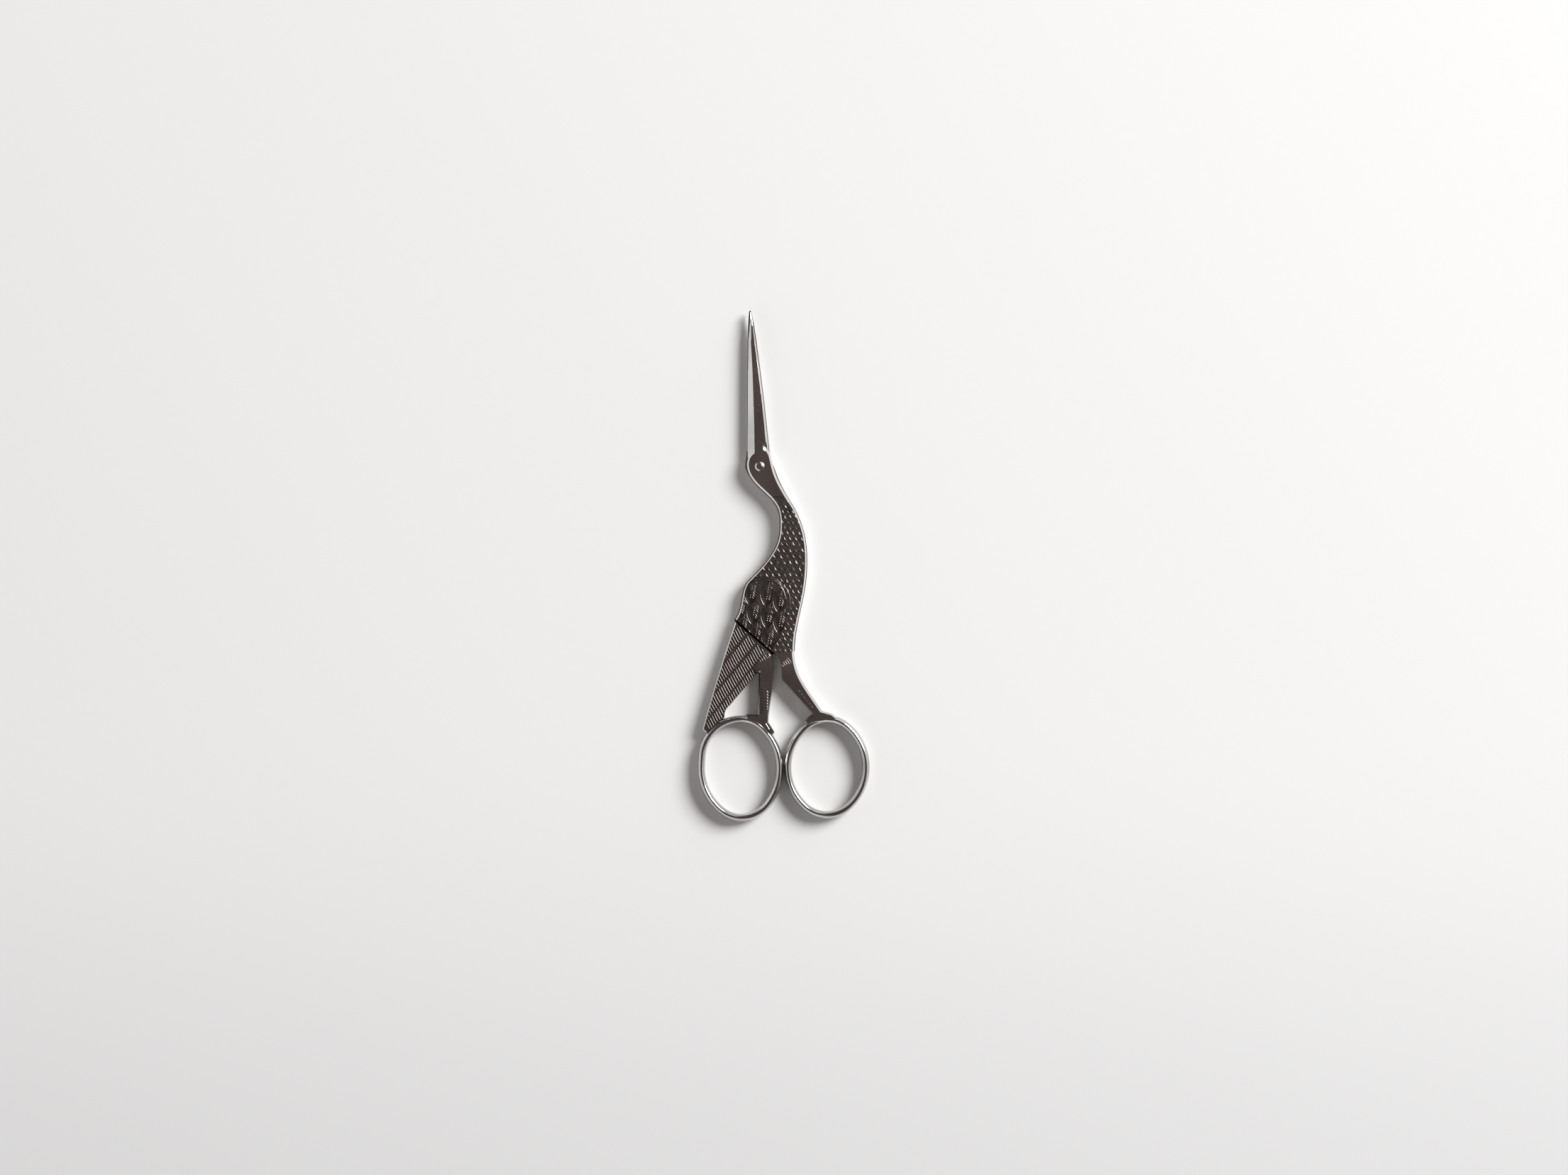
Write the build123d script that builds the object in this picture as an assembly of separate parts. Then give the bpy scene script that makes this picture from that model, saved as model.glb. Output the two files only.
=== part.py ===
from build123d import *
from math import atan2, cos, degrees, pi, sin
import os

# Stork embroidery scissors: two forged halves that cross at one rivet. Sizes are in millimetres.
# The model is drawn with the rivet at the origin, +Y towards the beak tip and +Z towards the viewer.
# The halves part on the plane z = 0, and each slab() below lies on one side of it.

# Layers
layer_thick = 1.75  # one half, from the parting plane to its outer face
layer_gap = 0.04  # running gap between the two halves
wall_draft = 0.06  # how far a wall leans in from the parting plane to the bevel
rim_run = 0.34  # bevel round each outer face, across
rim_drop = 0.45  # the same bevel, down
carving_depth = 0.16  # how far the feathered fields lie below the plain faces

# Blades
blade_length = 31.7  # from the shoulder to the beak tip
shoulder_height = 3.4  # from the rivet to the shoulder
blade_width = 4.88  # one blade at the shoulder
spine_reach = 2.66  # from the rivet to the spine line
axis_lean = 3.48  # degrees from +Y to the line that the two blades share
edge_land = 0.05  # what is left of the thickness at the cutting edge
hollow_depth = 0.10  # hollow grind inside each blade
hollow_land = 0.30  # flat left beside the hollow, along the edge and the spine
blade_root = 1.6  # how far a blade runs down inside its head
scoop_radius = 2.0  # of the round hollow where the edge bevel ends beside the head
scoop_depth = 0.40
scoop_reach = 1.95  # from the rivet across to the middle of that hollow

# Neck and body
body_width = 10.65  # from the rivet across to the back of the neck
body_length = 42.4  # from the rivet down to the hips, and the radius of the lower parting
front_margin = 0.22  # how far the lower half shows past the upper one, along the throat and breast
back_margin = 0.10  # the same along the back of the neck
neck_plain = 6.6  # plain neck, from the rivet down to the first scales
neck_ramp = 3.4  # run over which the scaled field sinks to its depth
cut_gap = 0.60  # the slit between the body and the tail, measured down the page
parting_gap = 0.15  # the same between the lower body and the right leg

# Tail and legs
leg_length = 13.0  # from the hips to the ankles
foot_height = 1.5  # from the ankles to the middle of the finger ring's bar

# Finger rings
ring_half_width = 8.82  # to the middle of the bar
ring_half_height = 11.1
ring_bar_width = 1.70
ring_bar_height = 3.30
bar_sides = 16  # flats round the upright oval section of the bar
ring_gap = 0.10  # between the two rings when closed
ring_side_reach = 5.41  # from the rivet across to where the rings meet

# Rivet
rivet_shank = 1.50  # diameter
rivet_head = 2.10  # diameter
rivet_dome = 0.42  # height of the head above the face
rivet_lip = 0.10  # upright edge of the head
rivet_fit = 0.03  # radial running clearance in the upper half
rivet_peen = 2.30  # diameter of the closed end, flush with the lower face
peen_depth = 0.40

# Shared by every cut
overrun = 1.0

face_height = layer_gap / 2 + layer_thick
body_height = face_height - carving_depth

# Outlines are shares of (body_width, body_length), from the top down.
body_left_shares = [
    (-0.160, 0.071), (-0.236, 0.048), (-0.268, 0.015), (-0.2546, -0.019), (-0.2186, -0.043),
    (-0.113, -0.083), (0.184, -0.156), (0.399, -0.229), (0.442, -0.302), (0.399, -0.395),
    (0.169, -0.500), (-0.172, -0.594), (-0.276, -0.6245), (-0.342, -0.6696), (-0.516, -0.8125),
]
body_right_shares = [
    (0.221, 0.075), (0.251, 0.049), (0.302, -0.0075), (0.511, -0.128), (0.733, -0.222),
    (0.940, -0.357), (1.0, -0.4906), (0.955, -0.647), (0.800, -0.835), (0.733, -0.967),
]
lower_left_shares = [(-0.253, 0.081), (-0.278, 0.030), (-0.281, -0.010)] + body_left_shares[4:]
lower_right_shares = [(0.124, 0.072), (0.210, 0.048)] + body_right_shares[2:]
upper_ridge_share = (-0.107, 0.081)
lower_ridge_share = (0.068, 0.083)
crotch_share = (0.377, -1.0064)
left_hip_share = (0.251, -1.0)
tail_seat_share = (-0.45, -0.88)
notch_shares = [(-0.050, -1.099), (-0.020, -1.094)]
left_thigh_line_shares = [(0.160, -0.972), (-0.113, -1.059)]

# How much of the draft and bevel a stretch of outline has: none where it is sawn, and most along the back.
full_rim_share = 1
back_rim_share = 1.4
thin_rim_share = 0.5
sawn_rim_share = 0

# Stretches between two anchor points are shares of the box that the two points span.
right_thigh_shares = [(0.026, 0.17), (0.154, 0.39), (0.41, 0.61), (0.77, 0.85)]
right_shin_shares = [(0.07, 0.075), (0.115, 0.21), (0.13, 0.42)]
left_thigh_shares = [(-0.9, 0.16), (-0.85, 0.32), (-0.1, 0.59), (0.6, 0.79)]
tail_edge_shares = [(0.494, 0.463)]
tail_under_shares = [(0.84, 0.73), (0.97, 0.85)]

# Rings and feet are shares of (ring_half_width, ring_half_height) about each ring's centre.
left_ring_shares = (0.0, 1.0)  # how far the oval's centre is raised, and its half height
right_ring_shares = (0.027, 0.972)
left_round_shares = (0.80, 0.985, 0.74, 0.87)  # end radius in each quarter, from the upper right round
right_round_shares = (0.80, 0.80, 0.82, 0.82)
left_foot_shares = [
    (0.438, 1.092), (0.142, 1.099), (0.142, 0.990), (0.480, 0.885),
    (0.670, 0.700), (0.800, 0.650), (0.875, 0.735), (0.718, 0.934),
]
right_foot_shares = [
    (-0.367, 1.106), (-0.4575, 1.062), (-0.568, 0.965), (-0.530, 0.845), (-0.295, 0.915),
    (-0.0235, 0.945), (0.210, 0.930), (0.265, 1.027), (0.121, 1.1135), (-0.114, 1.164),
]
tail_tip_share = (-0.973, 0.790)
tail_inside_share = (-0.864, 0.704)
tail_heel_share = (-0.403, 1.030)

# Blade stations: shares of blade_length from the shoulder, then of blade_width (spine shift, width),
# of the station's width (ridge, top of the edge bevel), and of layer_thick (spine wall, ridge, bevel top).
blade_shares = [
    (0.003, 0.0, 1.0, 0.31, 0.885, 0.45, 1.0, 1.0),
    (0.185, 0.0, 0.879, 0.335, 0.88, 0.43, 0.96, 0.955),
    (0.385, 0.0, 0.738, 0.345, 0.865, 0.40, 0.905, 0.89),
    (0.587, 0.0, 0.572, 0.365, 0.84, 0.36, 0.82, 0.80),
    (0.789, 0.0, 0.400, 0.39, 0.76, 0.30, 0.69, 0.66),
    (0.890, 0.045, 0.252, 0.42, 0.72, 0.25, 0.56, 0.53),
    (0.940, 0.068, 0.170, 0.45, 0.71, 0.20, 0.45, 0.42),
    (0.990, 0.082, 0.084, 0.48, 0.72, 0.14, 0.29, 0.27),
    (1.0, 0.100, 0.040, 0.50, 0.75, 0.09, 0.16, 0.15),
]
hollow_shares = [(0.06, 0.97), (0.5, 0.645), (0.92, 0.205)]


def placed(shares, width, height, at=(0, 0)):
    """Points given as shares of a width and a height about a centre."""
    return [(at[0] + a * width, at[1] + b * height) for a, b in shares]


def on_body(share, margin=0):
    """One body point, moved out sideways by a margin."""
    return (share[0] * body_width + margin, share[1] * body_length)


def between(start, end, shares):
    """Points given as shares of the box from start to end."""
    return [(start[0] + a * (end[0] - start[0]), start[1] + b * (end[1] - start[1])) for a, b in shares]


# Ring centres follow from the leg, the foot and the ring's own sizes.
ring_drop = body_length + leg_length + foot_height + ring_half_height
ring_spread = ring_half_width + (ring_bar_width + ring_gap) / 2
left_centre = (ring_side_reach - ring_spread, -ring_drop)
right_centre = (ring_side_reach + ring_spread, -ring_drop)


def on_ring(shares, centre):
    """Points that follow one finger ring."""
    return placed(shares, ring_half_width, ring_half_height, centre)


def cut_ends(drop):
    """The two ends of the slit under the body, on the line that lies drop below its upper edge."""
    left, right = on_body(body_left_shares[-1]), on_body(crotch_share)
    return (left[0], left[1] - drop), (right[0], right[1] - drop)


def corners(points):
    """Straight stretches from point to point."""
    return [list(pair) for pair in zip(points, points[1:])]


def rimmed(stretches, rim_share=full_rim_share):
    """Stretches of outline, each with its share of the draft and bevel."""
    return [(rim_share, stretch) for stretch in stretches]


def inset_points(loop, insets):
    """An anticlockwise loop of points moved inwards to where its sides, each set in by its own inset, meet."""
    moved = []
    for i, point in enumerate(loop):
        before, after, near, far = loop[i - 1], loop[(i + 1) % len(loop)], insets[i - 1], insets[i]
        normals = []
        for start, end in ((before, point), (point, after)):
            step = Vector(end[0] - start[0], end[1] - start[1]).normalized()
            normals.append(Vector(-step.Y, step.X))
        turn = normals[0].dot(normals[1])
        if near == far:
            mitre = (normals[0] + normals[1]) * (near / (1 + turn))
        else:
            mitre = normals[0] * (near - turn * far) + normals[1] * (far - turn * near)
            mitre = mitre * (1 / (1 - turn**2))
        moved.append((point[0] + mitre.X, point[1] + mitre.Y))
    return moved


def outline(stretches, inset=0):
    """A closed face: a stretch of two points is straight, and one of more points is a smooth curve."""
    insets = [share * inset for share, stretch in stretches for _ in stretch[:-1]]
    loop = inset_points([point for _, stretch in stretches for point in stretch[:-1]], insets)
    edges, first = [], 0
    for _, stretch in stretches:
        points = [loop[(first + i) % len(loop)] for i in range(len(stretch))]
        edges.append(Line(*points) if len(points) == 2 else Spline(*points))
        first += len(stretch) - 1
    return make_face(edges)


def slab(stretches, base=layer_gap / 2):
    """One layer above the parting plane, with drafted walls and a bevel round its outer face."""
    levels = [(base, 0), (face_height - rim_drop, wall_draft), (face_height, wall_draft + rim_run)]
    return loft([Pos(0, 0, height) * outline(stretches, inset) for height, inset in levels], ruled=True)


def upper_stretches():
    """Head, neck, body and right leg: what the upper half shows."""
    left = [on_body(p) for p in body_left_shares]
    right = [on_body(p) for p in reversed(body_right_shares)]
    ridge, crotch = on_body(upper_ridge_share), on_body(crotch_share)
    foot = on_ring(right_foot_shares, right_centre)
    shin = [crotch] + between(crotch, foot[0], right_shin_shares)
    thigh = [foot[-1]] + between(right[0], foot[-1], right_thigh_shares)[::-1] + right
    return [*rimmed([[ridge, left[0]], left]), *rimmed([[left[-1], crotch]], sawn_rim_share),
            *rimmed([shin, [shin[-1], foot[0]]], thin_rim_share), *rimmed(corners(foot)),
            *rimmed([thigh], back_rim_share), *rimmed([[right[-1], ridge]])]


def lower_stretches():
    """Head, neck and body of the lower half, down past the round parting."""
    left = [on_body(p, -front_margin) for p in lower_left_shares]
    right = [on_body(p, back_margin) for p in reversed(lower_right_shares)]
    ridge, seat = on_body(lower_ridge_share), on_body(tail_seat_share)
    hip = (on_body(left_hip_share)[0], -body_length - overrun)
    end = (right[0][0], -body_length - overrun)
    return rimmed([[ridge, left[0]], left, [left[-1], seat], [seat, hip], [hip, end], [end, right[0]],
                   right, [right[-1], ridge]])


def tail_stretches():
    """Tail and left leg: what the lower half shows."""
    cut_left, cut_right = cut_ends(cut_gap)
    hip, notch = on_body(left_hip_share), [on_body(p) for p in notch_shares]
    foot = on_ring(left_foot_shares, left_centre)
    tip, inside, heel = on_ring([tail_tip_share, tail_inside_share, tail_heel_share], left_centre)
    reach = (hip[0] - cut_left[0]) / (cut_right[0] - cut_left[0])
    hip_top = between(cut_left, cut_right, [(reach, reach)])[0]
    bend = between(notch[0], heel, tail_under_shares)
    thigh = [foot[-1]] + between(hip_top, foot[-1], left_thigh_shares)[::-1] + [hip_top]
    edge = [cut_left] + between(cut_left, tip, tail_edge_shares) + [tip]
    return [*rimmed([edge, [tip, inside], [inside, heel]]),
            *rimmed([[heel, *bend[::-1]], [bend[0], notch[0]], notch], thin_rim_share),
            *rimmed([[notch[1], foot[0]], *corners(foot)]), *rimmed([thigh], thin_rim_share),
            *rimmed([[hip_top, cut_left]], sawn_rim_share)]


def under(solid):
    """The same solid turned to the lower side of the parting plane, with its outline kept."""
    return mirror(solid, about=Plane.XY)


def blade_section(row):
    """One closed section across the blade: inside face, spine, ridge, main face and edge bevel."""
    along, shift, width, ridge, bevel, wall, ridge_height, bevel_height = row
    spine = -spine_reach + shift * blade_width
    across = width * blade_width
    base = layer_gap / 2
    points = [
        (spine, base), (spine, base + wall * layer_thick),
        (spine + ridge * across, base + ridge_height * layer_thick),
        (spine + bevel * across, base + bevel_height * layer_thick),
        (spine + across, base + edge_land), (spine + across, base),
    ]
    height = shoulder_height + along * blade_length
    return Plane.XZ.offset(-height) * make_face(Polyline(*points, close=True))


def hollow_section(row):
    """A shallow lens that hollows the inside of the blade between its two flat lands."""
    along, width = row
    spine, across = -spine_reach, width * blade_width
    left, right, base = spine + hollow_land, spine + across - hollow_land, layer_gap / 2
    arc = ThreePointArc((left, base), ((left + right) / 2, base + hollow_depth), (right, base))
    lens = make_face([arc, Line((right, base), (left, base))])
    return Plane.XZ.offset(-shoulder_height - along * blade_length) * lens


def blade():
    """The upper blade: spine on the left, cutting edge on the right, hollow ground inside."""
    root = blade_section(blade_shares[0])
    sections = [Pos(0, -blade_root) * root] + [blade_section(row) for row in blade_shares]
    return loft(sections, ruled=True) - loft([hollow_section(row) for row in hollow_shares], ruled=True)


def scoop():
    """The round hollow where the edge bevel ends beside the head."""
    height = face_height + scoop_radius - scoop_depth
    return Pos(scoop_reach, shoulder_height + scoop_radius / 2, height) * Sphere(scoop_radius)


def oval(centre, height, round_shares):
    """A closed oval of eight tangent arcs: in each quarter a small one at the end and a large one beside."""
    arcs, width = [], ring_half_width
    for quarter, share in enumerate(round_shares):
        across, along = (1, -1, -1, 1)[quarter], (1, 1, -1, -1)[quarter]
        small = share * width
        large = (width**2 + (height - small)**2 - small**2) / (2 * (width - small))
        meet = degrees(atan2(height - small, large - width))
        end = (centre[0], centre[1] + along * (height - small))
        side = (centre[0] - across * (large - width), centre[1])
        start = 90 * quarter
        if quarter % 2:
            arcs += [CenterArc(end, small, start, 90 - meet), CenterArc(side, large, start + 90 - meet, meet)]
        else:
            arcs += [CenterArc(side, large, start, meet), CenterArc(end, small, start + meet, 90 - meet)]
    return Wire(arcs)


def bar_section():
    """The upright oval section of a ring's bar, in narrow flats."""
    turns = [2 * pi * side / bar_sides for side in range(bar_sides)]
    points = [(cos(turn) * ring_bar_width / 2, sin(turn) * ring_bar_height / 2) for turn in turns]
    return make_face(Polyline(*points, close=True))


def finger_ring(centre, ring_shares, round_shares):
    """One finger ring: the bar swept round the finger opening."""
    rise, height = [share * ring_half_height for share in ring_shares]
    path = oval((centre[0], centre[1] + rise), height, round_shares)
    start = Plane(origin=path @ 0, x_dir=(1, 0, 0), z_dir=path % 0)
    return sweep(start * bar_section(), path=path)


def body_field():
    """The feathered neck and body, sinking from the first scales and then level down to the hips."""
    top, lowest = face_height + overrun, -body_length - overrun
    side = [(-neck_plain, face_height), (-neck_plain - neck_ramp, body_height), (lowest, body_height),
            (lowest, top), (-neck_plain, top)]
    field = extrude(Plane.YZ * make_face(Polyline(*side, close=True)), body_length, both=True)
    return field & Cylinder(body_length, 2 * top)


def tail_field():
    """The feathered tail, as far as the line of the thigh."""
    thigh_top, thigh_end = placed(left_thigh_line_shares, body_width, body_length)
    notch = on_body(notch_shares[0])
    left, floor = -body_length, -2 * body_length
    points = [(thigh_top[0], 0), thigh_top, thigh_end, notch, (notch[0], floor), (left, floor), (left, 0)]
    return extrude(Pos(0, 0, body_height) * make_face(Polyline(*points, close=True)), overrun)


def rivet():
    """Domed head, plain shank and a closed end that lies flush in its countersink."""
    shank, head, peen = rivet_shank / 2, rivet_head / 2, rivet_peen / 2
    lip, top = face_height + rivet_lip, face_height + rivet_dome
    ball = (head**2 + (top - lip)**2) / (2 * (top - lip))
    middle = top - ball
    side = [(0, -face_height), (peen, -face_height), (shank, peen_depth - face_height),
            (shank, face_height), (head, face_height), (head, lip)]
    rim_angle = degrees(atan2(lip - middle, head))
    crown = CenterArc((0, middle), ball, rim_angle, 90 - rim_angle)
    return revolve(Plane.XZ * make_face([Polyline(*side), crown, Line((0, top), side[0])]))


def front_half():
    """The half on top: right leg and ring below, blade with its spine on the left above."""
    upper = slab(upper_stretches())
    parting = Cylinder(body_length + parting_gap, 2 * (face_height + overrun))
    leg = under(slab(upper_stretches(), -layer_gap / 2)) - parting
    half = upper + leg - body_field()
    half = half + blade() + finger_ring(right_centre, right_ring_shares, right_round_shares) - scoop()
    return half - Cylinder(rivet_shank / 2 + rivet_fit, 2 * (face_height + overrun))


def back_half():
    """The half below: tail, left leg and ring, blade with its spine on the right."""
    tail = slab(tail_stretches(), 0)
    body = under(slab(lower_stretches())) & Cylinder(body_length, 2 * (face_height + overrun))
    half = tail + under(tail) + body
    half = half - under(body_field()) - tail_field() - under(tail_field())
    shared_line = Axis((0, 0, 0), Vector(0, 1, 0).rotate(Axis.Z, axis_lean))
    half = half + blade().rotate(shared_line, 180) - scoop().rotate(shared_line, 180)
    half = half + finger_ring(left_centre, left_ring_shares, left_round_shares)
    return half - rivet()


nodes = {"front_half": front_half(), "back_half": back_half(), "pivot_rivet": rivet()}

# The finished part stands with its base on z = 0 and the middle of its plan at the origin.
whole = Compound(list(nodes.values())).bounding_box()
shift = Pos(-whole.center().X, -whole.center().Y, -whole.min.Z)
os.makedirs("parts", exist_ok=True)
for name, shape in nodes.items():
    export_step(shift * shape, f"parts/{name}.step")
print("pivot axis at", (shift * Vertex(0, 0, 0)).center())
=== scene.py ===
import bpy
import math
import random
from mathutils import Matrix, Vector


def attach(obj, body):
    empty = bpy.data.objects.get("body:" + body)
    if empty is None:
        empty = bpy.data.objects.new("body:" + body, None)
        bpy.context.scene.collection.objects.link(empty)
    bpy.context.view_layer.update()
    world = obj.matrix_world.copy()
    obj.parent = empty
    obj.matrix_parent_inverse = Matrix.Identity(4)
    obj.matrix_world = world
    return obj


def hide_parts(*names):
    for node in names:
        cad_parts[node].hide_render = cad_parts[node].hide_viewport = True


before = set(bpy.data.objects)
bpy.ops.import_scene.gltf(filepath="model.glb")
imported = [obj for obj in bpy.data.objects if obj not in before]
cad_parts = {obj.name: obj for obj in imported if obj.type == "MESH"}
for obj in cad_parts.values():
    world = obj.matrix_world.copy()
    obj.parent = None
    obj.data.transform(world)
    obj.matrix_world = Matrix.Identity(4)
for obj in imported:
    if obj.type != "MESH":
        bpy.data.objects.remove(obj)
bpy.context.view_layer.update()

# Stork embroidery scissors, lying on a pale table and seen from straight above.
# Relief shapes are modelled in millimetres and brought down to metres when they are set in place.
mm = 0.001

layout = {
    "rivetPixel": (1071.6, 658.0),  # where the rivet is in the photograph
    "rivetPlace": (-5.41, 22.4227),  # and on the model, in mm
    "pixelSize": 0.1595,  # mm of the object per pixel
    "middle": 1.77,  # the parting plane between the two halves
    "floorHeight": 3.38,  # the sunk fields that hold the feathers
    "faceHeight": 3.54,  # the plain faces
    "ramp": (15.82, 12.42),  # y where the neck starts to sink, and where it has reached the floor
    "slit": ((1037.1, 874.0), (1096.8, 925.5)),  # upper edge of the sawn slit, in pixels
    "slitDrop": 3.8,  # from there down to its lower edge
    "fadeLeast": 0.12,  # share of the relief's height where the ramp starts
    "toe": (-9.0, -33.0),  # right of and below this, the sunk face is the left foot's plain toe
    "fieldSlack": 0.01,  # mm, for telling the field's faces by their place
    "faceSlack": 0.005,
    "flatSlope": 0.99,  # least upward share of a flat face's normal
}
middle, floorHeight, faceHeight = layout["middle"], layout["floorHeight"], layout["faceHeight"]


def clearSelection():
    if bpy.context.object and bpy.context.object.mode != "OBJECT":
        bpy.ops.object.mode_set(mode="OBJECT")
    bpy.ops.object.select_all(action="DESELECT")


def fromPhoto(u, v):  # a pixel of the photograph as mm on the model
    (u0, v0), (x0, y0), size = layout["rivetPixel"], layout["rivetPlace"], layout["pixelSize"]
    return (x0 + (u - u0) * size, y0 - (v - v0) * size)


def pixels(count):  # a length in pixels as mm
    return count * layout["pixelSize"]


def pick(piece, wanted):  # select the vertices that a test by place wants, in edit mode
    bpy.ops.object.mode_set(mode="OBJECT")
    for polygon in piece.data.polygons:
        polygon.select = False
    for edge in piece.data.edges:
        edge.select = False
    for vertex in piece.data.vertices:
        vertex.select = wanted(vertex.co)
    bpy.ops.object.mode_set(mode="EDIT")


def applyPlace(piece):
    clearSelection()
    piece.select_set(True)
    bpy.context.view_layer.objects.active = piece
    bpy.ops.object.transform_apply(location=True, rotation=True, scale=True)


def joinAll(pieces, name):
    clearSelection()
    for piece in pieces:
        piece.select_set(True)
    bpy.context.view_layer.objects.active = pieces[0]
    bpy.ops.object.join()
    pieces[0].name = name
    pieces[0].data.name = name
    return pieces[0]


def copyAt(model, x, y, turn=0.0, stretch=(1, 1, 1), height=0.0):  # one more of a modelled shape, in mm
    piece = model.copy()
    piece.data = model.data.copy()
    bpy.context.collection.objects.link(piece)
    turned = Matrix.Rotation(turn, 4, "Z") @ Matrix.Diagonal((*stretch, 1))
    piece.data.transform(Matrix.Translation((x, y, height)) @ turned)
    return piece


def discard(piece):
    mesh = piece.data
    bpy.data.objects.remove(piece)
    bpy.data.meshes.remove(mesh)


# Steel: polished on the plain faces, dull and soiled between the feathers, with painted shade deep in the
# carving, in the slit and along the cutting edges.

steel = {
    "bright": (0.77, 0.755, 0.74),
    "dull": (0.62, 0.605, 0.59),
    "cloudSize": 160.0,  # of the noise that drifts between these two
    "cloudRange": (0.3, 0.62),
    "lowerShade": (0.78, -0.010, -0.030),  # share of the tone on legs and rings, y of its start and end
    "roughness": (0.08, 0.17),
    "partingRough": 0.05,  # added on the parting faces
    "carvedRough": 0.21,  # added among the feathers
    "carved": (0.40, 0.37, 0.355),
    "rust": (0.30, 0.235, 0.215),  # reddish brown tint here and there in the carving
    "rustFiner": 3,  # than the clouds
    "rustRange": (0.42, 0.66),
    "grimeAndShade": (0.17, 0.145, 0.135),  # grime and painted shade deep in the carving
    "grimeAndShadeBelow": 0.2,  # share of the carving's depth that the grime and painted shade lie below its floor
    "clearAbove": 0.55,  # share of that depth where the neck's ramp starts to turn into the polished face
    "reliefShade": 0.42,  # painted shade: share of the tone on ridges so narrow that their glints would be too bright
    "tailShade": 0.22,
    "lineShade": 0.20,
    # painted shade at the bottom of the deep, narrow slit
    "slitPaintedShade": (0.02, 0.016, 0.015),
    "slitReach": (0.9, 1.3),  # where this painted shade ends, in widths of the slit from its middle
    "slitRough": 0.7,
    "edgePaintedShade": (0.045, 0.042, 0.040),  # painted shade along the cutting edges
    "edgeReach": (0.55, 0.80),  # mm from the parting plane to where that starts to fade, and to its end
    "speckSize": 4200.0,  # bright specks on the blades
    "speckRange": (0.70, 0.78),
    "speckMetal": 0.55,
    "scratchSize": 900.0,
    "scratchStretch": (1.0, 0.12, 1.0),
    "scratchTurn": 8,  # degrees
    "scratchDepth": 0.02,
    "grainSize": 2600.0,  # the pitted skin between the feathers
    "grainDepth": 0.5,
    "reliefGrain": 0.22,
    "bumpHeight": 0.0002,  # metres
}
carvingLow, carvingHigh = (floorHeight - middle) * mm, (faceHeight - middle) * mm


def addNode(tree, kind, **sockets):
    node = tree.nodes.new(kind)
    for name, value in sockets.items():
        node.inputs[name].default_value = value
    return node


def addNoise(tree, place, size, detail):
    noise = addNode(tree, "ShaderNodeTexNoise", Scale=size, Detail=detail)
    tree.links.new(place.outputs["Object"], noise.inputs["Vector"])
    return noise.outputs["Fac"]


def addMath(tree, operation, value, second=0.0):
    node = tree.nodes.new("ShaderNodeMath")
    node.operation = operation
    tree.links.new(value, node.inputs[0])
    node.inputs[1].default_value = second
    return node.outputs[0]


def dotWith(tree, vector, direction):
    node = tree.nodes.new("ShaderNodeVectorMath")
    node.operation = "DOT_PRODUCT"
    tree.links.new(vector, node.inputs[0])
    node.inputs[1].default_value = direction
    return node.outputs["Value"]


def mapped(tree, value, low, high, first=0.0, last=1.0, smooth=False):
    limits = {"From Min": low, "From Max": high, "To Min": first, "To Max": last}
    node = addNode(tree, "ShaderNodeMapRange", **limits)
    if smooth:
        node.interpolation_type = "SMOOTHSTEP"
    tree.links.new(value, node.inputs["Value"])
    return node.outputs["Result"]


def blendColours(tree, factor, first, second):
    node = tree.nodes.new("ShaderNodeMix")
    node.data_type = "RGBA"
    for name, colour in (("A", first), ("B", second)):
        if isinstance(colour, tuple):
            node.inputs[name].default_value = (*colour, 1)
        else:
            tree.links.new(colour, node.inputs[name])
    tree.links.new(factor, node.inputs["Factor"])
    return node.outputs["Result"]


def scaleColour(tree, colour, share):  # the share is a number or comes from a node
    node = tree.nodes.new("ShaderNodeVectorMath")
    node.operation = "SCALE"
    tree.links.new(colour, node.inputs[0])
    if isinstance(share, float):
        node.inputs["Scale"].default_value = share
    else:
        tree.links.new(share, node.inputs["Scale"])
    return node.outputs[0]


def startMaterial(name):
    material = bpy.data.materials.new(name)
    material.use_nodes = True
    tree = material.node_tree
    return material, tree, tree.nodes["Principled BSDF"]


def placeAlong(tree, place, axis):
    split = tree.nodes.new("ShaderNodeSeparateXYZ")
    tree.links.new(place.outputs["Object"], split.inputs[0])
    return split.outputs[axis]


def heightFromMiddle(tree, place):  # how far above or below the parting plane, in metres
    return addMath(tree, "ABSOLUTE", addMath(tree, "SUBTRACT", placeAlong(tree, place, "Z"), middle * mm))


def darkenLower(tree, place, colour):  # darker towards the lower end, over the legs and rings
    share, start, end = steel["lowerShade"]
    return scaleColour(tree, colour, mapped(tree, placeAlong(tree, place, "Y"), end, start, share, 1.0))


def soilAndShade(tree, place, side, cloud, colour, roughness, merged):
    # Grime and painted shade: darker the deeper it lies below the plain faces, on both sides.
    depth = carvingHigh - carvingLow
    patches = addNoise(tree, place, steel["cloudSize"] * steel["rustFiner"], 3.0)
    tint = blendColours(tree, mapped(tree, patches, *steel["rustRange"]), steel["carved"], steel["rust"])
    shallow = mapped(tree, side, carvingLow - steel["grimeAndShadeBelow"] * depth, carvingHigh)
    tint = blendColours(tree, shallow, steel["grimeAndShade"], tint)
    if not merged:
        return tint, roughness
    face = mapped(tree, side, carvingLow + steel["clearAbove"] * depth, carvingHigh)
    colour = blendColours(tree, face, tint, colour)
    clean = mapped(tree, cloud, 0, 1, *steel["roughness"])
    mix = tree.nodes.new("ShaderNodeMix")
    tree.links.new(face, mix.inputs["Factor"])
    tree.links.new(roughness, mix.inputs["A"])
    tree.links.new(clean, mix.inputs["B"])
    return colour, mix.outputs["Result"]


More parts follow.
